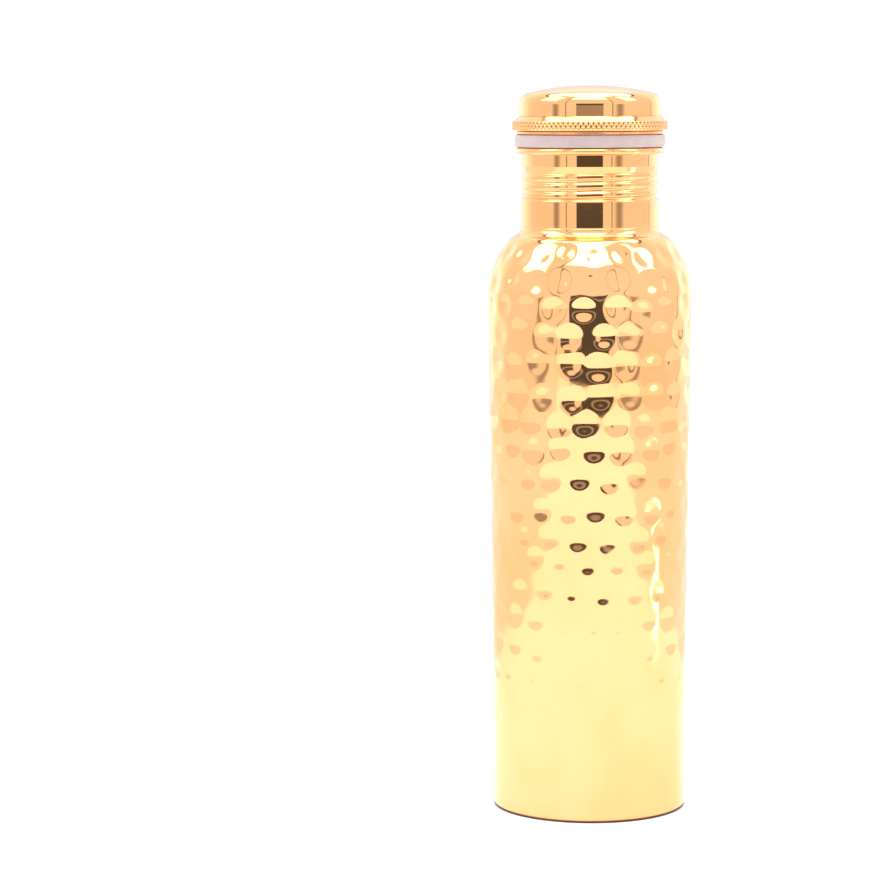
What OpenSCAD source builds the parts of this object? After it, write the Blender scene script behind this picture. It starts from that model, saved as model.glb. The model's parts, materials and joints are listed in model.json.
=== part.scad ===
// Copper water bottle: a drawn copper shell with a brazed-in threaded neck, a dished
// base, and a screw cap whose hollow plug turns inside the neck on a soft gasket.
// Millimetres, +Z up. The origin is the centre of the foot, on the surface it stands on.

/* [Body] */
// Diameter at the foot of the shoulder, the widest place
body_d = 72.7; // [66:0.1:90]
// Diameter of the plain straight band above the foot
base_d = 69.3; // [58:0.1:84]
// Height at which the shoulder begins to turn in
body_h = 183; // [150:1:225]
// Height of the plain straight band above the foot
band_h = 30; // [10:1:60]
// Thickness of the shell
shell_wall = 0.6; // [0.4:0.1:1]
// Radius of the shoulder
shoulder_r = 32; // [27:0.5:40]
// Radius of the tighter turn at the top of the shoulder
crown_r = 6; // [4:0.5:12]
// Angle above the horizontal at which the tighter turn begins
crown_angle = 40; // [30:1:44]
// Radius of the hollow where the shoulder meets the neck
neck_fillet = 3.3; // [2:0.1:6]

/* [Foot] */
// Outside radius of the bottom edge
foot_r = 2; // [1.2:0.1:3]
// Width of the flat ring that the bottle stands on
foot_flat = 5; // [3:0.5:8]
// Thickness of the base disc
disc_wall = 0.8; // [0.5:0.1:1.5]
// Rise of the dished middle of the base disc
disc_rise = 3; // [1:0.5:6]

/* [Neck] */
// Outside diameter of the plain band below the thread
neck_d = 49.1; // [44:0.1:54]
// Height of the plain band below the thread
lower_band_h = 9.6; // [4:0.1:20]
// Height of the plain band between the thread and the rim
upper_band_h = 6.9; // [4:0.1:12]
// Thickness of the neck
neck_wall = 0.5; // [0.4:0.05:0.6]
// Depth to which the neck's foot reaches into the shell
neck_lap = 3; // [2:0.5:3.5]
// Radius of the curled rim
rim_r = 1.3; // [1.1:0.05:1.8]
// How far the upper band flares from the thread up to the rim
neck_flare = 0.6; // [0.3:0.1:1]

/* [Thread] */
// Rise in one turn
pitch = 3.15; // [2.8:0.05:4]
// Turns of rolled thread in the neck
turns = 3; // [2:0.25:4]
// Depth of the rolled thread
thread_depth = 1; // [0.8:0.05:1.1]
// How far the rolled valleys lie inside the plain band
valley_inset = 1.35; // [1.2:0.05:1.5]
// Gap between the plug and the neck's thread
thread_gap = 0.35; // [0.25:0.05:0.4]

/* [Cap] */
// How far the cap's wall stands out past the neck's plain band
cap_over = 0.65; // [0.3:0.05:1.5]
// Height of the cap above its flange
cap_h = 16.1; // [13:0.1:22]
// Radius of the rounded edge of the cap
cap_edge_r = 3; // [2:0.1:4]
// Radius of the slightly crowned top
cap_crown_r = 92; // [70:1:140]
// Thickness of the cap
cap_wall = 0.7; // [0.5:0.05:1]
// How far the knurl stands out past the cap's wall
knurl_out = 2.5; // [1.5:0.1:4]
// Height of the knurled band
knurl_h = 3.7; // [2:0.1:6]
// Height of the smooth slope above the knurl
slope_h = 1.5; // [0.8:0.1:3]
// How far the flange stands out past the cap's wall
flange_out = 0.8; // [0.4:0.1:2]
// Thickness of the flange
flange_h = 1.4; // [1:0.1:2.5]
// Thickness of the plug's wall
plug_wall = 0.6; // [0.4:0.05:1]
// Corner radius at the bottom of the plug
plug_edge_r = 1.5; // [1:0.1:3]

/* [Gasket] */
// How far the gasket stands out past the rim
gasket_out = 0.3; // [-0.5:0.1:1]
// Thickness of the gasket
gasket_h = 4.3; // [2:0.1:6]
// Gap between the gasket and the pieces that it seals
seal_gap = 0.05; // [0.02:0.01:0.1]
// Gap between the gasket's bore and the plug
bore_gap = 0.3; // [0.2:0.05:0.5]

/* [Hidden] */
$fn = 128;

copper = [0.85, 0.5, 0.3];
bright_copper = [0.93, 0.62, 0.38];
silicone = [0.9, 0.82, 0.84];

// Shell
body_r = body_d / 2;
base_r = base_d / 2;
neck_r = neck_d / 2;
taper = atan((body_r - base_r) / (body_h - band_h));
shoulder_c = [body_r - shoulder_r * cos(taper), body_h + shoulder_r * sin(taper)];
crown_c = shoulder_c + (shoulder_r - crown_r) * [cos(crown_angle), sin(crown_angle)];
fillet_x = neck_r + neck_fillet;
fillet_z = crown_c.y + sqrt(pow(crown_r + neck_fillet, 2) - pow(fillet_x - crown_c.x, 2));
fillet_angle = atan2(fillet_z - crown_c.y, fillet_x - crown_c.x);

// Neck: its foot laps inside the shell's upturned edge, and the rest is flush with it
valley_r = neck_r - valley_inset;
crest_r = valley_r + thread_depth;
step_h = 0.9;
thread_z = fillet_z + lower_band_h;
thread_h = turns * pitch + step_h;
upper_z = thread_z + thread_h;
upper_r = valley_r + 0.6;
rim_r_in = upper_r + neck_flare;
rim_c = [rim_r_in + rim_r - neck_wall, upper_z + upper_band_h];
rim_z = rim_c.y + rim_r;

// Half widths of the rolled ridge at its foot and at its crest
ridge_foot = 0.42 * pitch;
ridge_crest = 0.14 * pitch;
flank = (ridge_foot - ridge_crest) / thread_depth;
wall_shift = neck_wall * (sqrt(1 + flank * flank) - flank);

// Cap
land_r = valley_r - neck_wall;
plug_r = land_r - thread_gap - 0.05;
plug_crest_r = land_r + thread_gap;
gasket_z = rim_z + seal_gap;
flange_z = gasket_z + gasket_h + seal_gap;
cap_z = flange_z + flange_h;
cap_r = neck_r + cap_over;
knurl_r = cap_r + knurl_out;
flange_r = cap_r + flange_out;
gasket_r = rim_c.x + rim_r + gasket_out;
plug_z = thread_z - 0.8;

function arc(c, r, a0, a1, n = 8) =
    [for (i = [0:n]) c + r * [cos(a0 + (a1 - a0) * i / n), sin(a0 + (a1 - a0) * i / n)]];

// Outside of the shell from the foot's edge up to the neck, moved inwards by d
function shell_side(d) = concat(
    arc([base_r - foot_r, foot_r], foot_r - d, -90, 0, 6),
    [[base_r - d, band_h]],
    arc(shoulder_c, shoulder_r - d, -taper, crown_angle, 10),
    arc(crown_c, crown_r - d, crown_angle, fillet_angle, 5),
    arc([fillet_x, fillet_z], neck_fillet + d, fillet_angle + 180, 180, 5)
);

function reversed(list) = [for (i = [len(list) - 1:-1:0]) list[i]];

// A ridge that climbs to the right and fades out at both ends: r0 and w0 are its radius and
// half width at the foot, r1 and w1 at the crest. With run_on, in turns, its upper end fades
// out that much later and more slowly.
module helix_ridge(r0, r1, w0, w1, z, count, run_on = 0) {
    rings = round(36 * (count + run_on));
    fade = 6;
    function rise(i) = max(0.06, min(1, i / fade, (rings - i) / (fade + 36 * run_on)));
    function ring(i) = let (
        a = 360 * (i + 0.5) / 36,
        h = z + pitch * i / 36,
        r = r0 + (r1 - r0) * rise(i)
    ) [
        [r0 * cos(a), r0 * sin(a), h - w0], [r * cos(a), r * sin(a), h - w1],
        [r * cos(a), r * sin(a), h + w1], [r0 * cos(a), r0 * sin(a), h + w0]
    ];
    points = [for (i = [0:rings]) each ring(i)];
    sides = [for (i = [0:rings - 1]) for (k = [0:3]) let (
        p = 4 * i + k,
        q = 4 * i + (k + 1) % 4
    ) each [[p, q, q + 4], [p, q + 4, p + 4]]];
    ends = [[2, 1, 0], [3, 2, 0], 4 * rings * [1, 1, 1] + [0, 1, 2], 4 * rings * [1, 1, 1] + [0, 2, 3]];
    polyhedron(points, concat(sides, ends));
}

module bottle_shell() {
    color(bright_copper)
    rotate_extrude()
    polygon(concat(
        [[base_r - foot_r - foot_flat, shell_wall], [base_r - foot_r - foot_flat, 0]],
        shell_side(0),
        reversed(shell_side(shell_wall))
    ));
}

// Sits on the foot's turned-in ring, with its middle dished up
module base_disc() {
    edge = base_r - foot_r;
    dish = edge - foot_flat - 1;
    slope = 4;
    z = shell_wall;
    color(copper)
    rotate_extrude()
    polygon([
        [0, z + disc_rise], [dish - slope, z + disc_rise], [dish, z], [edge, z],
        [edge, z + disc_wall], [dish + 0.5, z + disc_wall],
        [dish - slope + 0.5, z + disc_rise + disc_wall], [0, z + disc_rise + disc_wall]
    ]);
}

module neck_profile() {
    polygon(concat(
        [
            [neck_r - shell_wall, fillet_z - neck_lap], [neck_r - shell_wall, fillet_z],
            [neck_r, fillet_z], [neck_r, thread_z], [valley_r, thread_z + step_h],
            [valley_r, upper_z - step_h], [upper_r, upper_z], [rim_r_in, rim_c.y]
        ],
        arc(rim_c, rim_r - neck_wall, 180, -120, 12),
        arc(rim_c, rim_r, -120, 180, 16),
        [
            [upper_r - neck_wall, upper_z], [valley_r - neck_wall, upper_z - step_h],
            [valley_r - neck_wall, thread_z + step_h], [neck_r - neck_wall, thread_z],
            [neck_r - shell_wall - neck_wall, fillet_z],
            [neck_r - shell_wall - neck_wall, fillet_z - neck_lap]
        ]
    ));
}

// Everything inside the middle of the neck's wall
module neck_core() {
    half = neck_wall / 2;
    rotate_extrude()
    polygon([
        [0, fillet_z], [neck_r - half, fillet_z], [neck_r - half, thread_z],
        [valley_r - half, thread_z + step_h], [valley_r - half, upper_z - step_h],
        [upper_r - half, upper_z], [rim_r_in - half, rim_c.y], [0, rim_c.y]
    ]);
}

// The thread is rolled into the sheet, so each ridge outside is a groove inside. Both run out
// into the upper band, where the plug's thread comes in.
module neck_collar() {
    z = thread_z + step_h;
    sunk = 0.2;
    run_on = 0.5;
    color(bright_copper)
    difference() {
        union() {
            rotate_extrude() neck_profile();
            difference() {
                helix_ridge(valley_r - sunk, crest_r, ridge_foot + sunk * flank, ridge_crest, z,
                    turns, run_on);
                neck_core();
            }
        }
        helix_ridge(land_r - sunk, crest_r - neck_wall, ridge_foot - wall_shift + sunk * flank,
            ridge_crest - wall_shift + 0.05, z, turns, run_on);
    }
}

module gasket() {
    bore_r = plug_r + bore_gap;
    bulge = 0.5;
    r = gasket_r;
    color(silicone)
    translate([0, 0, gasket_z])
    rotate_extrude()
    polygon(concat(
        [[bore_r, 0], [r - bulge, 0]],
        [for (i = [1:7]) [r - bulge + bulge * sin(180 * i / 8), gasket_h * i / 8]],
        [[r - bulge, gasket_h], [bore_r, gasket_h]]
    ));
}

module plug_profile() {
    r = plug_r - plug_edge_r;
    z = plug_z + plug_edge_r;
    edge = 0.4;
    polygon(concat(
        [[0, plug_z]],
        arc([r, z], plug_edge_r, -90, 0, 6),
        [
            [plug_r, flange_z], [flange_r - edge, flange_z],
            [flange_r, flange_z + edge], [flange_r, cap_z - edge],
            [flange_r - edge, cap_z], [plug_r - plug_wall, cap_z]
        ],
        arc([r, z], plug_edge_r - plug_wall, 0, -90, 6),
        [[0, plug_z + plug_wall]]
    ));
}

// A closed hollow cup that screws into the neck, under the flange that carries the cap
module cap_plug() {
    sunk_r = plug_r - 0.2;
    half_w = ridge_foot - wall_shift - thread_gap;
    color(copper)
    union() {
        rotate_extrude() plug_profile();
        helix_ridge(sunk_r, plug_crest_r, half_w + flank * (land_r - sunk_r),
            half_w - flank * (plug_crest_r - land_r), thread_z + step_h, turns);
    }
}

module knurled_ring() {
    r = knurl_r;
    edge = 0.5;
    top = cap_z + knurl_h;
    color(copper)
    rotate_extrude()
    polygon(concat(
        [[cap_r, cap_z], [r - edge, cap_z], [r, cap_z + edge], [r, top - edge / 2], [r - edge, top]],
        [for (i = [1:5]) [cap_r + (r - edge - cap_r) * pow(1 - i / 5, 2), top + slope_h * i / 5]]
    ));
}

// Outside of the cap, moved inwards by d
function cap_side(d) = let (
    top = cap_z + cap_h,
    z = top - cap_crown_r + sqrt(pow(cap_crown_r - cap_edge_r, 2) - pow(cap_r - cap_edge_r, 2)),
    a = atan2(z - top + cap_crown_r, cap_r - cap_edge_r)
) concat(
    [[cap_r - d, cap_z]],
    arc([cap_r - cap_edge_r, z], cap_edge_r - d, 0, a, 6),
    arc([0, top - cap_crown_r], cap_crown_r - d, a + (90 - a) / 8, 90, 7)
);

module cap_shell() {
    color(bright_copper)
    rotate_extrude()
    polygon(concat(cap_side(0), reversed(cap_side(cap_wall))));
}

bottle_shell();
base_disc();
neck_collar();
gasket();
cap_plug();
knurled_ring();
cap_shell();
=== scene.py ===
"""A hammered copper water bottle: its shell, threaded neck, gasket and screw-in cap.

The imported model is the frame. Every piece is spun from a half section in millimetres, which is
placed and sized from the frame's own boxes, and rides on the body that carries its CAD node.
"""

import json
import math
import random
from bisect import bisect_right

import bmesh
import bpy
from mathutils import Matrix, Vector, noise


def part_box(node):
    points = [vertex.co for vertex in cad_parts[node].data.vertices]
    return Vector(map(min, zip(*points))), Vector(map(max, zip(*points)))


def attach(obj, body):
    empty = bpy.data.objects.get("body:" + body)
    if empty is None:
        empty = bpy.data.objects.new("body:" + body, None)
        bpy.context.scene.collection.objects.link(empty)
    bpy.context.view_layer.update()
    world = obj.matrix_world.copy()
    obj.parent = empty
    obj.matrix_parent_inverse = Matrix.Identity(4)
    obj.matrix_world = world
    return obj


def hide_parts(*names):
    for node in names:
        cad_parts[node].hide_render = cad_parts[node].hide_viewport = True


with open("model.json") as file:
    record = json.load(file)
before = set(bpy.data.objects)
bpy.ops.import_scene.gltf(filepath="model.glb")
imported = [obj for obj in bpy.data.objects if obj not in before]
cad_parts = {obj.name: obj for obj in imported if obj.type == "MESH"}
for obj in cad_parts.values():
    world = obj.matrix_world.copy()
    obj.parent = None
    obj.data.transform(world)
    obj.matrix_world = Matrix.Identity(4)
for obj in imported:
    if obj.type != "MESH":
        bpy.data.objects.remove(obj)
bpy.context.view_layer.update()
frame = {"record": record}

MM = 0.001
TURN = 2 * math.pi
DEGREES = 180 / math.pi
# How near a wall a vertex is when it counts as on it, in millimetres
ON_WALL = 0.05
# Vertices round a piece: pieces that are polished, and pieces that are satin or soft
POLISHED_SEGMENTS = 192
PLAIN_SEGMENTS = 160
# The length of a face on a wall without detail, in millimetres
PLAIN_STEP = 1.5


# ---------------------------------------------------------------- sizes, in millimetres

def low_mm(node):
    """The lowest height of a CAD node."""
    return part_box(node)[0].z / MM


def high_mm(node):
    """The highest height of a CAD node."""
    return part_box(node)[1].z / MM


def radius_mm(node):
    """The largest radius of a round CAD node."""
    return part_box(node)[1].x / MM


BARREL = next(m for m in frame["record"]["mounts"] if m["name"] == "foot_barrel")

# Shell
BODY_R = radius_mm("bottle_shell")
BASE_R = BARREL["dims"]["r_mm"]
BAND_TOP = BARREL["pos_m"][2] / MM + BARREL["dims"]["length_mm"] / 2
SHELL_TOP = high_mm("bottle_shell")
SHELL_WALL = low_mm("base_disc")
# The wall between the foot and the neck, thick enough for the deepest hammer mark
MARKED_WALL = 1.5
MARKED_LOW = BAND_TOP + 1
MARKED_HIGH = low_mm("neck_collar") - 0.5
FOOT_R = 2.0
FOOT_FLAT = 5.0
BODY_TOP = 183.0
SHOULDER_R = 32.0
CROWN_R = 6.0
CROWN_ANGLE = math.radians(40)
NECK_FILLET = 3.3

# Base disc
DISC_WALL = 0.8
DISC_RISE = high_mm("base_disc") - low_mm("base_disc") - DISC_WALL
DISC_R = radius_mm("base_disc")
DISC_EDGE = FOOT_FLAT + 1
DISH_SLOPE = 4
DISH_LEAN = 0.5
DISH_CORNER = 1.2

# Neck
NECK_R = 24.55
NECK_WALL = 0.5
NECK_FOOT = low_mm("neck_collar")
RIM_TOP = high_mm("neck_collar")
RIM_R = 1.3
RIM_OUT = radius_mm("neck_collar")
NECK_CORNER = 1.4
PITCH = 3.15
TURNS = 3
# Over how much of a turn the ridge rises at its start, and dies away at its top
RUN_IN = 1 / 6
RUN_ON = 0.5
# Half the ridge's width and the width of its slope, as shares of the pitch
RIDGE_HALF = 0.43
RIDGE_SLOPE = 0.29
# How far below and above the thread a vertex may still move, in turns
THREAD_REACH = 0.6
STEP = 0.9
VALLEY_R = NECK_R - 1.35
CREST_R = VALLEY_R + 1.0
UPPER_R = VALLEY_R + 0.6
# The rolled valleys look shallower outside than in
ROOT_R = VALLEY_R + 0.45
# Where the thread starts, in turns
THREAD_START = 0.37
THREAD_LOW = SHELL_TOP + 9.6
THREAD_HIGH = THREAD_LOW + TURNS * PITCH + STEP
# Above the thread, how far the band stands out from UPPER_R at each height
UPPER_BAND = [(0.1, 0), (0.45, 1.5), (0.5, 5)]
CURL_END = math.radians(-120)

# Gasket and cap
GASKET_LOW = low_mm("gasket")
GASKET_HIGH = high_mm("gasket")
GASKET_R = radius_mm("gasket")
GASKET_BORE = 22.6
GASKET_BULGE = 0.5
GASKET_EDGE = 0.35
PLUG_LOW = low_mm("cap_plug")
PLUG_R = 22.3
PLUG_ROOT_R = PLUG_R - 0.1
PLUG_CREST_R = 23.05
PLUG_WALL = 0.6
PLUG_CORNER = 1.5
FLANGE_R = radius_mm("cap_plug")
FLANGE_LOW = GASKET_HIGH + 0.05
FLANGE_EDGE = 0.5
CAP_LOW = low_mm("cap_shell")
CAP_TOP = high_mm("cap_shell")
CAP_R = radius_mm("cap_shell")
CAP_WALL = 0.7
CAP_EDGE = 4.2
CAP_CROWN = 92.0
KNURL_R = radius_mm("knurled_ring")
KNURL_H = 3.4
KNURL_EDGE = 0.5
KNURL_SLOPE = high_mm("knurled_ring") - low_mm("knurled_ring") - KNURL_H
# More than 1 hollows the slope above the knurl
SLOPE_BEND = 1.25

# Where the view is from, round the bottle from straight in front. Left is negative.
VIEW_TURN = math.radians(-2.76)


# ---------------------------------------------------------------- half sections

# A corner that turns less than this stays as it is
SMOOTH_TURN = math.radians(18)


def limited(value):
    """The value kept between 0 and 1."""
    return min(max(value, 0), 1)


def arc(centre, radius, start, end, steps):
    """Points on an arc between two angles in radians, as (radius, height) pairs."""
    points = []
    for i in range(steps + 1):
        angle = start + (end - start) * i / steps
        points.append((centre[0] + radius * math.cos(angle), centre[1] + radius * math.sin(angle)))
    return points


def refined(points, step):
    """The same outline with points no further apart than step."""
    out = [points[0]]
    for a, b in zip(points, points[1:]):
        parts = max(1, math.ceil(math.dist(a, b) / step))
        for k in range(1, parts + 1):
            out.append((a[0] + (b[0] - a[0]) * k / parts, a[1] + (b[1] - a[1]) * k / parts))
    return out


def rounded(points, radius, steps=4):
    """The same outline with its corners rounded, and a point kept close to each end of a curve."""
    beyond = 1.3
    out = [points[0]]
    for a, p, b in zip(points, points[1:], points[2:]):
        before, after = math.dist(a, p), math.dist(p, b)
        turned = math.atan2(p[1] - a[1], p[0] - a[0]) - math.atan2(b[1] - p[1], b[0] - p[0])
        if abs((turned + math.pi) % TURN - math.pi) < SMOOTH_TURN:
            out.append(p)
            continue
        reach = min(radius, 0.35 * before, 0.35 * after)

        def towards(other, length, share):
            return tuple(p[i] + (other[i] - p[i]) * reach * share / length for i in (0, 1))

        start, end = towards(a, before, 1), towards(b, after, 1)
        out.append(towards(a, before, beyond))
        for k in range(steps + 1):
            t = k / steps
            out.append(tuple(
                (1 - t) ** 2 * start[i] + 2 * t * (1 - t) * p[i] + t ** 2 * end[i] for i in (0, 1)
            ))
        out.append(towards(b, after, beyond))
    return out + [points[-1]]


def shell_side(inset, fine):
    """The shell's outside from the foot's edge to the neck, moved inwards by inset.

    fine is how finely the curves are divided.
    """
    taper = math.atan((BODY_R - BASE_R) / (BODY_TOP - BAND_TOP))
    shoulder = (BODY_R - SHOULDER_R * math.cos(taper), BODY_TOP + SHOULDER_R * math.sin(taper))
    reach = SHOULDER_R - CROWN_R
    crown = (
        shoulder[0] + reach * math.cos(CROWN_ANGLE), shoulder[1] + reach * math.sin(CROWN_ANGLE)
    )
    fillet_x = NECK_R + NECK_FILLET
    rise = math.sqrt((CROWN_R + NECK_FILLET) ** 2 - (fillet_x - crown[0]) ** 2)
    fillet = (fillet_x, crown[1] + rise)
    meet = math.atan2(rise, fillet_x - crown[0])
    return (
        arc((BASE_R - FOOT_R, FOOT_R), FOOT_R - inset, -math.pi / 2, 0, 5 * fine)
        + [(BASE_R - inset, BAND_TOP)]
        + arc(shoulder, SHOULDER_R - inset, -taper, CROWN_ANGLE, 12 * fine)
        + arc(crown, CROWN_R - inset, CROWN_ANGLE, meet, 5 * fine)
        + arc(fillet, NECK_FILLET + inset, meet + math.pi, math.pi, 5 * fine)
    )


# ---------------------------------------------------------------- building

# Vertices nearer than this are one, in millimetres
MERGE = 0.002


def spun(name, outline, segments, closed=True, shape=None):
    """A mesh object made by spinning a half section once round the bottle's axis.

    outline is in millimetres. closed joins its last point to its first, and one that isn't
    closed starts and ends on the axis. shape, if given, moves the finished mesh's vertices.
    """
    bm = bmesh.new()
    verts = [bm.verts.new((r * MM, 0, z * MM)) for r, z in outline]
    pairs = list(zip(verts, verts[1:]))
    if closed:
        pairs.append((verts[-1], verts[0]))
    edges = [bm.edges.new(pair) for pair in pairs]
    bmesh.ops.spin(
        bm, geom=verts + edges, cent=(0, 0, 0), axis=(0, 0, 1), angle=TURN, steps=segments,
        use_merge=True,
    )
    bmesh.ops.remove_doubles(bm, verts=bm.verts, dist=MERGE * MM)
    bmesh.ops.recalc_face_normals(bm, faces=bm.faces)
    if shape:
        shape(bm)
    for face in bm.faces:
        face.smooth = True
    mesh = bpy.data.meshes.new(name)
    bm.to_mesh(mesh)
    bm.free()
    piece = bpy.data.objects.new(name, mesh)
    bpy.context.scene.collection.objects.link(piece)
    return piece


def finish_piece(piece, body, node, material):
    """Seats a piece on its body, in place of its CAD node, and gives it its finish."""
    piece.data.materials.append(material)
    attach(piece, body)
    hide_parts(node)


# ---------------------------------------------------------------- the hammered shell

# The planisher works round the shell in rows. Each row's first blow falls at its own angle, in
# degrees from the front, and the blows get lighter and smaller towards the foot.
FIRST_BLOWS = [3, 1, -3, 8, 5, 6.5, -2, 2, -5, 4, -6, -1, 8, 2, 4, -3, 3, 0]
ROW_HEIGHTS = [
    200, 190.5, 181, 172, 161, 151, 141.5, 132.5, 122.5, 111, 101, 92.5, 82, 71, 61, 51, 42.5, 33.5,
]
BLOWS_PER_ROW = 21
# The radius of a blow, and its depth as a share of the radius, from the first row to the last
BLOW_SIZES = [(0, 4.8), (0.12, 5.5), (0.4, 5.1), (0.76, 4.6), (1, 3.5)]
BLOW_SLOPES = [
    (0, 0.14), (0.06, 0.17), (0.12, 0.11), (0.25, 0.09), (0.4, 0.066), (0.6, 0.056), (0.76, 0.05),
    (1, 0.04),
]
# How far a blow strays in degrees and in height, how much of that a row's first blow does, and
# by what factors a blow's radius and depth vary
TURN_STRAY = 2.2
HEIGHT_STRAY = 1.4
FIRST_STRAY = 0.3
SIZE_RANGE = (0.9, 1.1)
DEPTH_RANGE = (0.88, 1.12)
# How far along the wall a row's blows reach from its first blow
ROW_REACH = 8.5
# Slow waves that the work leaves between the marks, which come in over WAVE_FADE above the band
WAVE_DEPTH = 0.07
WAVE_LENGTH = 11
WAVE_FADE = 20
HAMMERED_LOW = BAND_TOP - 2
HAMMERED_HIGH = SHELL_TOP - 0.5
SHELL_SEGMENTS = 288
SHELL_ROW = 0.7
FOOT_ROW = 2.5
GUIDE_ROW = 0.5
TINY = 1e-9


def between(table, at):
    """The value at a place in a table of (place, value), by straight lines."""
    for (low, start), (high, end) in zip(table, table[1:]):
        if at <= high:
            return start + (end - start) * (at - low) / (high - low)
    return table[-1][1]


def blow_rows():
    """The rows of hammer marks, each a list of (angle, height, radius, depth)."""
    rng = random.Random(7)
    rows = []
    for i, (first, height) in enumerate(zip(FIRST_BLOWS, ROW_HEIGHTS)):
        share = i / (len(FIRST_BLOWS) - 1)
        marks = []
        for k in range(BLOWS_PER_ROW):
            stray = FIRST_STRAY if k == 0 else 1.0
            angle = first + stray * rng.uniform(-TURN_STRAY, TURN_STRAY)
            angle = VIEW_TURN + math.radians(angle) + TURN * k / BLOWS_PER_ROW
            radius = between(BLOW_SIZES, share) * rng.uniform(*SIZE_RANGE)
            depth = radius * between(BLOW_SLOPES, share) * rng.uniform(*DEPTH_RANGE)
            up = stray * rng.uniform(-HEIGHT_STRAY, HEIGHT_STRAY)
            marks.append((angle, height + up, radius, depth))
        rows.append(marks)
    return rows


def hammer(bm):
    """Sinks the hammer marks into the outside of the spun shell."""
    side = refined(shell_side(0, 2), GUIDE_ROW)
    heights = [z for _, z in side]
    lengths = [0.0]
    for a, b in zip(side, side[1:]):
        lengths.append(lengths[-1] + math.dist(a, b))

    def along(z):
        """At a height: the length along the wall, its radius, and its rise and run outwards."""
        i = min(max(bisect_right(heights, z), 1), len(heights) - 1)
        low, high = heights[i - 1], heights[i]
        t = (z - low) / max(high - low, TINY)
        a, b = side[i - 1], side[i]
        run = max(math.dist(a, b), TINY)
        radius = a[0] + t * (b[0] - a[0])
        return lengths[i - 1] + t * run, radius, (b[1] - a[1]) / run, (b[0] - a[0]) / run

    rows = [
        [(angle, along(height)[0], radius, depth) for angle, height, radius, depth in marks]
        for marks in blow_rows()
    ]
    for v in bm.verts:
        z = v.co.z / MM
        r = math.hypot(v.co.x, v.co.y) / MM
        if z < HAMMERED_LOW or z > HAMMERED_HIGH:
            continue
        s, side_r, up, out = along(z)
        if abs(r - side_r) > SHELL_WALL / 2:
            continue
        angle = math.atan2(v.co.x, -v.co.y)
        fade = limited((z - BAND_TOP) / WAVE_FADE)
        sunk = WAVE_DEPTH * fade * (1 + noise.noise(v.co / (WAVE_LENGTH * MM)))
        for marks in rows:
            if abs(marks[0][1] - s) > ROW_REACH:
                continue
            for mark_angle, mark_s, mark_r, depth in marks:
                turn = (angle - mark_angle + math.pi) % TURN - math.pi
                if abs(turn) * r > mark_r:
                    continue
                t2 = ((turn * r) ** 2 + (s - mark_s) ** 2) / mark_r ** 2
                if t2 < 1:
                    sunk += depth * (1 - t2) ** 2
        v.co.x -= sunk * up * v.co.x / r
        v.co.y -= sunk * up * v.co.y / r
        v.co.z += sunk * out * MM


def make_shell():
    """The drawn shell: its turned-in foot ring, body and shoulder, up to the neck."""
    outside = shell_side(0, 2)
    start = next(i for i, p in enumerate(outside) if p[1] >= BAND_TOP)
    foot = refined(outside[:start + 1], FOOT_ROW)
    body = refined(outside[start:], SHELL_ROW)[1:]
    ring_r = BASE_R - FOOT_R - FOOT_FLAT
    inside = [
        marked if MARKED_LOW < marked[1] < MARKED_HIGH else plain
        for plain, marked in zip(shell_side(SHELL_WALL, 1), shell_side(MARKED_WALL, 1))
    ][::-1]
    outline = [(ring_r, SHELL_WALL), (ring_r, 0)] + foot + body + inside
    return spun("hammered_shell", outline, SHELL_SEGMENTS, shape=hammer)


def make_base():
    """The base disc, dished upwards inside the flat edge that sits on the foot ring."""
    dish = DISC_R - DISC_EDGE
    low, high = SHELL_WALL, SHELL_WALL + DISC_RISE
    under = [(0, high), (dish - DISH_SLOPE, high), (dish, low), (DISC_R, low)]
    over = [
        (DISC_R, low + DISC_WALL), (dish + DISH_LEAN, low + DISC_WALL),
        (dish - DISH_SLOPE + DISH_LEAN, high + DISC_WALL), (0, high + DISC_WALL),
    ]
    outline = refined(rounded(under + over, DISH_CORNER), PLAIN_STEP)
    return spun("dished_base", outline, PLAIN_SEGMENTS, closed=False)


# ---------------------------------------------------------------- the neck and its thread

THREAD_ROW = 0.17


def roll_thread(bm, walls, low, turns, run_on):
    """Raises a right-hand thread on walls of revolution: ridges outside, grooves inside.

    Each wall is (outline, root radius, crest radius). Only vertices on its outline move.
    """
    tables = [(sorted((z, r) for r, z in outline), root, crest) for outline, root, crest in walls]
    for v in bm.verts:
        z = v.co.z / MM
        r = math.hypot(v.co.x, v.co.y) / MM
        climb = (z - low) / PITCH
        if not -THREAD_REACH < climb < turns + run_on + THREAD_REACH:
            continue
        phase = climb - math.atan2(v.co.y, v.co.x) / TURN + THREAD_START
        aside = phase - round(phase)
        along = climb - aside
        grown = limited(along / RUN_IN) * limited((turns + run_on - along) / (run_on + RUN_IN))
        ridge = grown * limited((RIDGE_HALF - abs(aside)) / RIDGE_SLOPE)
        ridge = ridge * ridge * (3 - 2 * ridge)
        for table, root, crest in tables:
            if abs(between(table, z) - r) < ON_WALL:
                to = max(r, root + (crest - root) * ridge)
                v.co.x *= to / r
                v.co.y *= to / r
                break


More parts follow.
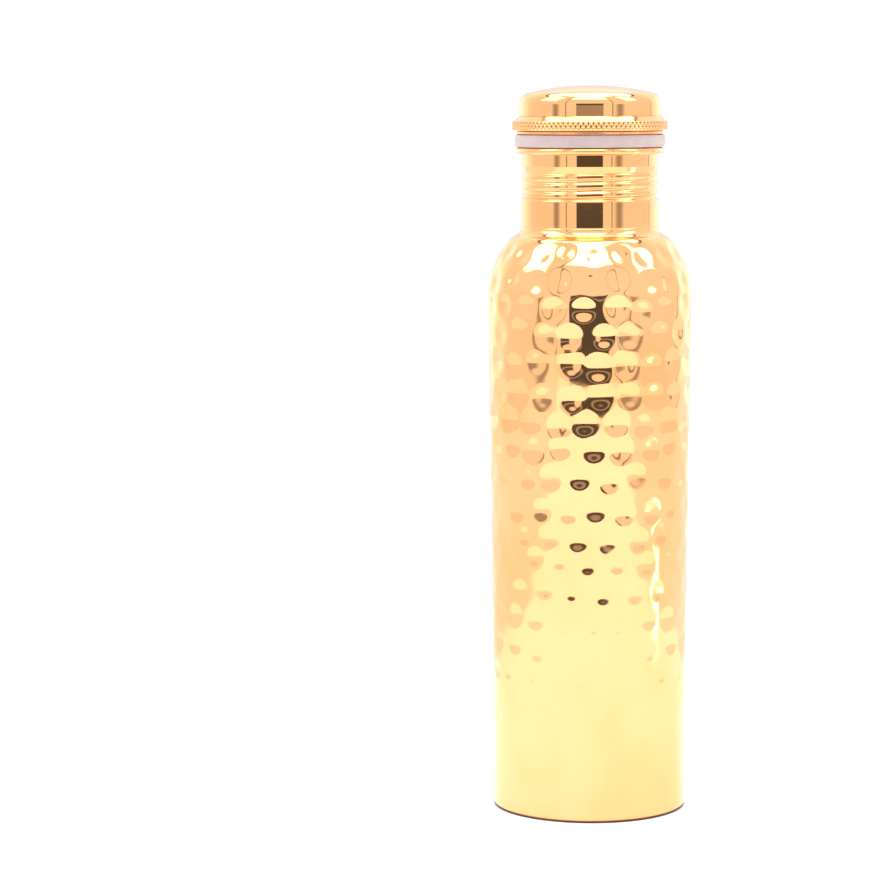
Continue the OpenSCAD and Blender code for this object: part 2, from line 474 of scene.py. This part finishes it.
def make_neck():
    """The spun neck: a foot that laps into the shell, the rolled thread and a curled rim."""
    curl = (RIM_OUT - RIM_R, RIM_TOP - RIM_R)
    upper_in = curl[0] - (RIM_R - NECK_WALL)
    foot_r = NECK_R - SHELL_WALL
    shoulder = [(foot_r, SHELL_TOP), (NECK_R, SHELL_TOP)]

    def wall_line(valley):
        line = [
            (NECK_R, SHELL_TOP + 0.3), (NECK_R, THREAD_LOW), (valley, THREAD_LOW + STEP),
            (valley, THREAD_HIGH - STEP),
        ]
        line += [(UPPER_R + out, THREAD_HIGH + up) for out, up in UPPER_BAND]
        line.append((upper_in, curl[1]))
        return refined(rounded(line, NECK_CORNER, 8), THREAD_ROW)

    wall = wall_line(ROOT_R)
    back = [(r - NECK_WALL, z) for r, z in wall_line(VALLEY_R)]
    rim = (
        arc(curl, RIM_R - NECK_WALL, math.pi, CURL_END, 18)[1:]
        + arc(curl, RIM_R, CURL_END, math.pi, 28)[:-1]
    )
    outline = (
        [(foot_r, NECK_FOOT)] + shoulder + wall + rim + list(reversed(back))
        + [(foot_r - NECK_WALL, SHELL_TOP), (foot_r - NECK_WALL, NECK_FOOT)]
    )
    walls = [
        (wall, ROOT_R, CREST_R),
        (back, VALLEY_R - NECK_WALL, CREST_R - NECK_WALL),
    ]

    def roll(bm):
        roll_thread(bm, walls, THREAD_LOW + STEP, TURNS, RUN_ON)
    return spun("threaded_neck", outline, POLISHED_SEGMENTS, shape=roll)


def make_gasket():
    """The gasket: a thick ring with a bulging side and softened inner edges."""
    steps = 12
    middle = (GASKET_LOW + GASKET_HIGH) / 2
    half = (GASKET_HIGH - GASKET_LOW) / 2
    edge_r = GASKET_BORE + GASKET_EDGE
    outline = [(GASKET_BORE, GASKET_LOW + GASKET_EDGE), (edge_r, GASKET_LOW)]
    for i in range(steps + 1):
        angle = math.pi * (i / steps - 0.5)
        out = GASKET_R - GASKET_BULGE + GASKET_BULGE * math.cos(angle)
        outline.append((out, middle + half * math.sin(angle)))
    outline += [(edge_r, GASKET_HIGH), (GASKET_BORE, GASKET_HIGH - GASKET_EDGE)]
    return spun("silicone_gasket", outline, PLAIN_SEGMENTS)


# ---------------------------------------------------------------- the cap

PLUG_ROW = 0.2
FLANGE_FILLET = 0.3


def make_plug():
    """The hollow plug: closed below, threaded outside, with a flange that presses the gasket."""
    corner, edge = PLUG_CORNER, FLANGE_EDGE
    centre = (PLUG_R - corner, PLUG_LOW + corner)
    low = THREAD_LOW + STEP
    wall = refined([(PLUG_R, PLUG_LOW + corner), (PLUG_R, low + (TURNS + 1) * PITCH)], PLUG_ROW)
    root = [wall[-1], (PLUG_R, FLANGE_LOW), (FLANGE_R - edge, FLANGE_LOW)]
    inner_r = PLUG_R - PLUG_WALL
    outline = (
        refined([(0, PLUG_LOW), (PLUG_R - corner, PLUG_LOW)], PLAIN_STEP)[:-1]
        + arc(centre, corner, -math.pi / 2, 0, 8)[:-1]
        + wall
        + rounded(root, FLANGE_FILLET)[1:-1]
        + arc((FLANGE_R - edge, FLANGE_LOW + edge), edge, -math.pi / 2, 0, 5)
        + arc((FLANGE_R - edge, CAP_LOW - edge), edge, 0, math.pi / 2, 5)
        + refined([(inner_r, CAP_LOW), (inner_r, PLUG_LOW + corner)], PLAIN_STEP)[:-1]
        + arc(centre, corner - PLUG_WALL, 0, -math.pi / 2, 8)
        + [(0, PLUG_LOW + PLUG_WALL)]
    )

    def roll(bm):
        roll_thread(bm, [(wall, PLUG_ROOT_R, PLUG_CREST_R)], low, TURNS, 0)
    return spun("screw_plug", outline, POLISHED_SEGMENTS, closed=False, shape=roll)


KNURLS = 96
KNURL_DEPTH = 0.5
DIAMOND_H = 2.5
# The plain edges that the knurl leaves below and above it
KNURL_PLAIN_LOW = 0.35
KNURL_PLAIN_HIGH = 0.2


def cut_knurl(bm):
    """Cuts two crossing sets of grooves into the ring's band, which leaves diamonds."""
    low = CAP_LOW + KNURL_PLAIN_LOW
    high = CAP_LOW + KNURL_H - KNURL_PLAIN_HIGH
    # The dent attribute is highest where the two grooves cross. The knurled copper paints shade
    # there from it.
    depth_layer = bm.verts.layers.float.new("dent")
    for v in bm.verts:
        z = v.co.z / MM
        r = math.hypot(v.co.x, v.co.y) / MM
        if r < KNURL_R - ON_WALL or not low <= z <= high:
            continue
        round_about = KNURLS * math.atan2(v.co.y, v.co.x) / TURN
        up = (z - low) / DIAMOND_H
        left = abs((round_about + up) % 1 - 0.5)
        right = abs((round_about - up) % 1 - 0.5)
        cut = KNURL_DEPTH * max(left, right) * 2
        v.co.x *= (r - cut) / r
        v.co.y *= (r - cut) / r
        v[depth_layer] = left + right


def make_knurled_ring():
    """The ring round the cap's foot: a knurled band under a slope that runs up to the cap."""
    top = CAP_LOW + KNURL_H
    edge_r = KNURL_R - KNURL_EDGE
    low = CAP_LOW + KNURL_PLAIN_LOW
    band = KNURL_H - (KNURL_PLAIN_LOW + KNURL_PLAIN_HIGH)
    outline = [(CAP_R, CAP_LOW), (edge_r, CAP_LOW), (KNURL_R - 0.15, CAP_LOW + 0.1)]
    rows = 4 * round(band / DIAMOND_H * 4)
    for i in range(rows + 1):
        outline.append((KNURL_R, low + band * i / rows))
    outline.append((edge_r, top))
    steps = 8
    for i in range(1, steps + 1):
        left = 1 - i / steps
        out = CAP_R + (edge_r - CAP_R) * left ** SLOPE_BEND
        outline.append((out, top + KNURL_SLOPE * i / steps))
    return spun("knurled_grip", outline, KNURLS * 4, shape=cut_knurl)


CAP_ROW = 0.8


def make_cap():
    """The domed cap, open below: a straight side, a rounded edge and a low crown."""
    hub = CAP_TOP - CAP_CROWN
    edge_z = hub + math.sqrt((CAP_CROWN - CAP_EDGE) ** 2 - (CAP_R - CAP_EDGE) ** 2)
    lean = math.atan2(edge_z - hub, CAP_R - CAP_EDGE)

    def side(inset):
        return (
            refined([(CAP_R - inset, CAP_LOW), (CAP_R - inset, edge_z)], CAP_ROW)[:-1]
            + arc((CAP_R - CAP_EDGE, edge_z), CAP_EDGE - inset, 0, lean, 14)
            + arc((0, hub), CAP_CROWN - inset, lean, math.pi / 2, 24)[1:]
        )
    outline = list(reversed(side(CAP_WALL))) + side(0)
    return spun("domed_cap", outline, POLISHED_SEGMENTS, closed=False)


# ---------------------------------------------------------------- finishes

class Tree:
    """Short ways to add and join shader nodes."""

    def __init__(self, tree):
        self.tree = tree

    def add(self, kind, **settings):
        node = self.tree.nodes.new(kind)
        for key, value in settings.items():
            setattr(node, key, value)
        return node

    def put(self, socket, value):
        """Joins a socket to another, or sets it to a plain value."""
        if isinstance(value, bpy.types.NodeSocket):
            self.tree.links.new(value, socket)
        else:
            socket.default_value = value

    def math(self, operation, a, b=0.0):
        node = self.add("ShaderNodeMath", operation=operation)
        self.put(node.inputs[0], a)
        self.put(node.inputs[1], b)
        return node.outputs[0]

    def times(self, a, b):
        return self.math("MULTIPLY", a, b)

    def plus(self, a, b):
        return self.math("ADD", a, b)

    def minus(self, a, b):
        return self.math("SUBTRACT", a, b)

    def most(self, first, *others):
        """The largest of some values."""
        for other in others:
            first = self.math("MAXIMUM", first, other)
        return first

    def from_axis(self, x, y):
        """The distance from the upright axis."""
        return self.math("SQRT", self.plus(self.times(x, x), self.times(y, y)))

    def turn(self, x, y):
        """Degrees round from straight in front, to the right."""
        return self.times(self.math("ARCTAN2", x, self.times(y, -1.0)), DEGREES)

    def ramp(self, value, low, high, start=0.0, end=1.0):
        """A smooth step from start to end as value goes from low to high."""
        node = self.add("ShaderNodeMapRange", interpolation_type="SMOOTHSTEP")
        self.put(node.inputs["Value"], value)
        self.put(node.inputs["From Min"], low)
        self.put(node.inputs["From Max"], high)
        self.put(node.inputs["To Min"], start)
        self.put(node.inputs["To Max"], end)
        return node.outputs["Result"]

    def window(self, value, low, high, soft):
        """1 between low and high, and 0 outside, with soft edges."""
        rise = self.ramp(value, low - soft, low + soft)
        fall = self.ramp(value, high - soft, high + soft, 1, 0)
        return self.times(rise, fall)

    def mix(self, factor, a, b):
        node = self.add("ShaderNodeMix", data_type="RGBA")
        self.put(node.inputs["Factor"], factor)
        self.put(node.inputs["A"], a)
        self.put(node.inputs["B"], b)
        return node.outputs["Result"]

    def noise(self, vector, scale, detail, roughness):
        node = self.add("ShaderNodeTexNoise")
        self.put(node.inputs["Vector"], vector)
        node.inputs["Scale"].default_value = scale
        node.inputs["Detail"].default_value = detail
        node.inputs["Roughness"].default_value = roughness
        return node.outputs["Fac"]

    def coordinates(self, kind):
        return self.add("ShaderNodeTexCoord").outputs[kind]

    def split(self, vector):
        """The x, y and z of a vector."""
        parts = self.add("ShaderNodeSeparateXYZ")
        self.put(parts.inputs[0], vector)
        return tuple(parts.outputs)

    def bump(self, height, depth):
        """A normal bumped by a height, and depth is how deep in millimetres."""
        node = self.add("ShaderNodeBump")
        node.inputs["Strength"].default_value = 1.0
        node.inputs["Distance"].default_value = depth * MM
        self.put(node.inputs["Height"], height)
        return node.outputs["Normal"]


def new_finish(name):
    """A material, its shader and its tree."""
    mat = bpy.data.materials.new(name)
    mat.use_nodes = True
    return mat, mat.node_tree.nodes["Principled BSDF"], Tree(mat.node_tree)


def lathe_group():
    """Fine rings left by polishing on a lathe: a height, and a spread for the roughness."""
    tree = bpy.data.node_groups.new("lathe_rings", "ShaderNodeTree")
    tree.interface.new_socket("Fineness", in_out="INPUT", socket_type="NodeSocketFloat")
    tree.interface.new_socket("Height", in_out="OUTPUT", socket_type="NodeSocketFloat")
    tree.interface.new_socket("Spread", in_out="OUTPUT", socket_type="NodeSocketFloat")
    t = Tree(tree)
    fineness = t.add("NodeGroupInput").outputs["Fineness"]
    out = t.add("NodeGroupOutput")
    where = t.coordinates("Object")
    x, y, z = t.split(where)
    # The lines wander a little from one side of a piece to the other
    wander = 6.0
    ring = t.add("ShaderNodeCombineXYZ")
    t.put(ring.inputs[0], t.times(t.from_axis(x, y), fineness))
    t.put(ring.inputs[1], t.times(z, fineness))
    t.put(ring.inputs[2], t.times(x, wander))
    lines = t.noise(ring.outputs[0], scale=1.0, detail=4.0, roughness=0.7)
    t.put(out.inputs["Height"], lines)
    smear = t.noise(where, scale=38.0, detail=4.0, roughness=0.6)
    t.put(out.inputs["Spread"], t.times(t.ramp(smear, 0.42, 0.72), t.ramp(lines, 0.3, 0.7)))
    return tree


def patina_group():
    """Slow drifts of tone and a few handling marks over polished copper."""
    tree = bpy.data.node_groups.new("patina", "ShaderNodeTree")
    tree.interface.new_socket("Drift", in_out="OUTPUT", socket_type="NodeSocketFloat")
    tree.interface.new_socket("Marks", in_out="OUTPUT", socket_type="NodeSocketFloat")
    t = Tree(tree)
    out = t.add("NodeGroupOutput")
    where = t.coordinates("Object")
    drift = t.noise(where, scale=22.0, detail=3.0, roughness=0.55)
    t.put(out.inputs["Drift"], t.ramp(drift, 0.35, 0.7))
    fine = t.noise(where, scale=420.0, detail=5.0, roughness=0.75)
    broad = t.noise(where, scale=60.0, detail=3.0, roughness=0.6)
    t.put(out.inputs["Marks"], t.times(t.ramp(fine, 0.5, 0.72), t.ramp(broad, 0.5, 0.68)))
    return tree


LATHE = lathe_group()
PATINA = patina_group()

# Painted shade: how dark the bottom of a knurl dent is painted, beside the metal's warm tone
DENT_PAINTED_SHADE = 0.07


def copper(name, bright, warm, smooth, rough, rings, ring_height, dent_painted_shade=0.0):
    """Polished copper. Tone drifts between bright and warm, and roughness between two values.

    rings is how fine the lathe lines are and ring_height how deep. The last argument sets how
    strongly shade is painted into the hollows that the piece's dent attribute marks.
    """
    mat, shader, t = new_finish(name)
    shader.inputs["Metallic"].default_value = 1.0
    patina = t.add("ShaderNodeGroup", node_tree=PATINA)
    lathe = t.add("ShaderNodeGroup", node_tree=LATHE)
    lathe.inputs["Fineness"].default_value = rings
    tone = t.mix(patina.outputs["Drift"], (*bright, 1), (*warm, 1))
    # Painted shade: the hollows that the dent attribute marks are darkened towards near-black
    # copper
    if dent_painted_shade:
        dent = t.add("ShaderNodeAttribute", attribute_name="dent").outputs["Fac"]
        shade = tuple(DENT_PAINTED_SHADE * part for part in warm)
        tone = t.mix(t.times(t.ramp(dent, 0.55, 0.95), dent_painted_shade), tone, (*shade, 1))
    t.put(shader.inputs["Base Color"], tone)
    wear = t.most(patina.outputs["Marks"], lathe.outputs["Spread"])
    t.put(shader.inputs["Roughness"], t.ramp(wear, 0.0, 1.0, smooth, rough))
    t.put(shader.inputs["Normal"], t.bump(lathe.outputs["Height"], ring_height))
    return mat


def silicone():
    """Milky, faintly pink silicone: soft shine, light inside it, and a little lint."""
    mat, shader, t = new_finish("silicone")
    where = t.coordinates("Object")
    cloud = t.ramp(t.noise(where, scale=90.0, detail=3.0, roughness=0.6), 0.35, 0.7)
    t.put(shader.inputs["Base Color"], t.mix(cloud, (*PINK, 1), (*MILK, 1)))
    lint = t.noise(where, scale=700.0, detail=4.0, roughness=0.7)
    t.put(shader.inputs["Roughness"], t.ramp(lint, 0.3, 0.8, 0.34, 0.52))
    shader.inputs["IOR"].default_value = 1.41
    shader.inputs["Subsurface Weight"].default_value = 0.35
    shader.inputs["Subsurface Radius"].default_value = (1.0, 0.8, 0.8)
    shader.inputs["Subsurface Scale"].default_value = 0.003
    grain = t.noise(where, scale=1500.0, detail=3.0, roughness=0.6)
    t.put(shader.inputs["Normal"], t.bump(grain, 0.02))
    return mat


# ---------------------------------------------------------------- studio

# The tent is laid out in degrees: turn runs round from the view, and lift runs up from level.
# A strip is its low end, its high end and how soft its edges are. A panel is a strip of turn and
# a strip of lift.
CLOTH = 1.12
LAMP = 3.0
LEFT_LAMP = ((-94, -60, 3), (26, 60, 3))
RIGHT_LAMP = ((66, 88, 3), (26, 60, 3))
ROOF_TURN = (-37, 36, 1.5)
ROOF_LIFT = (43, 47)
CROWN_LIFT = (68, 72)
BACK_TURN = (100, 115)
BACK_ROOF_LIFT = (52, 54)
BACK_WALL_TURN = (105, 140)
SHADE = 0.05
SHADE_TURN = (62, 118, 12)
SHADE_LIFT = (-14, 5, 5)
# The dark slot that the view is from, with a lighter line across its middle
SLOT_DARK = 0.91
SLOT_TURN = (-22, 22, 0.6)
SLOT_LIFT = (-12, 6, 0.6)
SLOT_LINE = 0.3
SLOT_LINE_LIFT = (-1.5, 1.2, 0.35)
# The gaps between the tent's panels, and the stands outside it that show through the cloth
GAP_DARK = 0.8
GAPS = [
    ((-40, -38.5, 0.5), (-12, 66, 1.5)),
    ((36.5, 38, 0.5), (-12, 66, 1.5)),
    ((116, 117.5, 0.5), (-12, 20, 1.5)),
]
BACK_GAP_LIFT = (49, 52, 0.7)
STAND_DARK = 0.6
STANDS = [((-62, -52, 4), (-9, 3, 2)), ((44, 56, 5), (-9, 3, 2))]
# How bright the tent is behind the bottle, as seen past it
BACKDROP = 1.2


def make_studio():
    """A white tent: a bright roof, softer walls, and a dark slot that the view is from."""
    world = bpy.data.worlds.new("tent")
    bpy.context.scene.world = world
    world.use_nodes = True
    t = Tree(world.node_tree)
    background = world.node_tree.nodes["Background"]
    x, y, z = t.split(t.coordinates("Generated"))
    turn = t.minus(t.turn(x, y), math.degrees(VIEW_TURN))
    lift = t.times(t.math("ARCSINE", z), DEGREES)
    aside = t.math("ABSOLUTE", turn)

    def panel(turn_strip, lift_strip):
        return t.times(t.window(turn, *turn_strip), t.window(lift, *lift_strip))

    back = t.ramp(aside, *BACK_TURN)
    lamps = t.most(
        t.times(t.window(turn, *ROOF_TURN), t.ramp(lift, *ROOF_LIFT)),
        t.ramp(lift, *CROWN_LIFT),
        t.times(back, t.ramp(lift, *BACK_ROOF_LIFT)),
        panel(*LEFT_LAMP),
        panel(*RIGHT_LAMP),
    )
    level = t.plus(CLOTH, t.times(lamps, LAMP))

    # The back wall is brighter low down at its sides, and a little brighter high up
    low_back = t.minus(t.ramp(aside, *BACK_WALL_TURN, 0, 0.45), t.ramp(aside, 150, 172, 0, 0.6))
    level = t.plus(level, t.times(low_back, t.ramp(lift, 12, 24, 1, 0)))
    high_back = t.times(t.ramp(aside, *BACK_WALL_TURN, 0, 0.22), t.ramp(lift, 14, 24))
    level = t.plus(level, high_back)
    shade = t.times(t.window(aside, *SHADE_TURN), t.window(lift, *SHADE_LIFT))
    level = t.minus(level, t.times(shade, SHADE))

    depth = t.minus(SLOT_DARK, t.times(t.window(lift, *SLOT_LINE_LIFT), SLOT_LINE))
    slot = t.times(panel(SLOT_TURN, SLOT_LIFT), depth)
    back_gap = t.times(back, t.window(lift, *BACK_GAP_LIFT))
    gaps = t.times(t.most(back_gap, *[panel(*gap) for gap in GAPS]), GAP_DARK)
    stands = t.times(t.most(*[panel(*stand) for stand in STANDS]), STAND_DARK)
    level = t.times(level, t.minus(1.0, t.most(slot, gaps, stands)))

    seen = t.add("ShaderNodeLightPath").outputs["Is Camera Ray"]
    t.put(background.inputs["Color"], (1, 1, 1, 1))
    t.put(background.inputs["Strength"], t.most(level, t.times(seen, BACKDROP)))


# The floor's half width, and its brighter parts, in metres from the bottle's axis
FLOOR_SIZE = 1.25
FLOOR_GREY = 0.3
FRONT_REACH = (0.36, 0.46)
FRONT_BACK = (0.15, 0.25)
NEAR_REACH = (0.22, 0.36)
FLOOR_GLOW = (0.6, 1.0)
# A lit streak on the right, in degrees and metres
STREAK_GLOW = 2.5
STREAK_TURN = (74, 83, 2.5)
STREAK_REACH = (0.38, 0.66, 0.08)
# The floor gives no light under the foot
FOOT_SHADOW = (0.0338, 0.0354)


def make_floor():
    """The tent's white floor, brightest in front of the bottle and close round it."""
    bm = bmesh.new()
    bmesh.ops.create_grid(bm, x_segments=2, y_segments=2, size=FLOOR_SIZE)
    mesh = bpy.data.meshes.new("floor")
    bm.to_mesh(mesh)
    bm.free()
    floor = bpy.data.objects.new("floor", mesh)
    bpy.context.scene.collection.objects.link(floor)
    mat, shader, t = new_finish("floor")
    shader.inputs["Base Color"].default_value = (FLOOR_GREY, FLOOR_GREY, FLOOR_GREY, 1)
    shader.inputs["Roughness"].default_value = 1.0
    shader.inputs["Specular IOR Level"].default_value = 0.0
    shader.inputs["Emission Color"].default_value = (1, 1, 1, 1)
    x, y, _ = t.split(t.coordinates("Object"))
    reach = t.from_axis(x, y)
    out = t.plus(t.math("ABSOLUTE", x), t.times(y, 0.4))
    front = t.times(t.ramp(out, *FRONT_REACH, 1, 0), t.ramp(y, *FRONT_BACK, 1, 0))
    pool = t.most(front, t.ramp(reach, *NEAR_REACH, 1, 0))
    streak = t.times(t.window(t.turn(x, y), *STREAK_TURN), t.window(reach, *STREAK_REACH))
    glow = t.plus(t.ramp(pool, 0, 1, *FLOOR_GLOW), t.times(streak, STREAK_GLOW))
    t.put(shader.inputs["Emission Strength"], t.times(glow, t.ramp(reach, *FOOT_SHADOW)))
    floor.data.materials.append(mat)


# Where the camera stands in metres, its lens in millimetres, and how it points
CAMERA_PLACE = (-0.054, -1.121, 0.255)
CAMERA_LENS = 129.4
CAMERA_SENSOR = 36
CAMERA_DOWN = 6.2
CAMERA_TILT = 0.22


def make_camera():
    """Looks slightly down from the height of the cap, from just left of the bottle's front."""
    data = bpy.data.cameras.new("view")
    data.lens = CAMERA_LENS
    data.sensor_width = CAMERA_SENSOR
    camera = bpy.data.objects.new("view", data)
    camera.location = CAMERA_PLACE
    camera.rotation_euler = (math.radians(90 - CAMERA_DOWN), math.radians(CAMERA_TILT), 0)
    bpy.context.scene.collection.objects.link(camera)
    bpy.context.scene.camera = camera
    bpy.context.scene.view_settings.view_transform = "Standard"


# ---------------------------------------------------------------- assembly

make_camera()
make_studio()
make_floor()

# The metal's tones, and the silicone's
BRIGHT = (1.0, 0.55, 0.26)
WARM = (0.97, 0.49, 0.2)
DULL = (0.86, 0.44, 0.24)
PINK = (0.48, 0.37, 0.36)
MILK = (0.54, 0.44, 0.43)

hammered = copper(
    "hammered_copper", BRIGHT, WARM, smooth=0.05, rough=0.14, rings=2600, ring_height=0.0004
)
polished = copper(
    "polished_copper", BRIGHT, WARM, smooth=0.045, rough=0.12, rings=5200, ring_height=0.0006
)
# The knurled ring's hollows get painted shade, at 0.95 strength
knurled = copper(
    "knurled_copper", BRIGHT, WARM, smooth=0.1, rough=0.22, rings=5200, ring_height=0.0006,
    dent_painted_shade=0.95,
)
brushed = copper(
    "brushed_copper", WARM, DULL, smooth=0.2, rough=0.34, rings=4200, ring_height=0.003
)

finish_piece(make_shell(), "bottle", "bottle_shell", hammered)
finish_piece(make_base(), "bottle", "base_disc", brushed)
finish_piece(make_neck(), "bottle", "neck_collar", polished)
finish_piece(make_gasket(), "seal", "gasket", silicone())
finish_piece(make_plug(), "cap", "cap_plug", brushed)
finish_piece(make_knurled_ring(), "cap", "knurled_ring", knurled)
finish_piece(make_cap(), "cap", "cap_shell", polished)
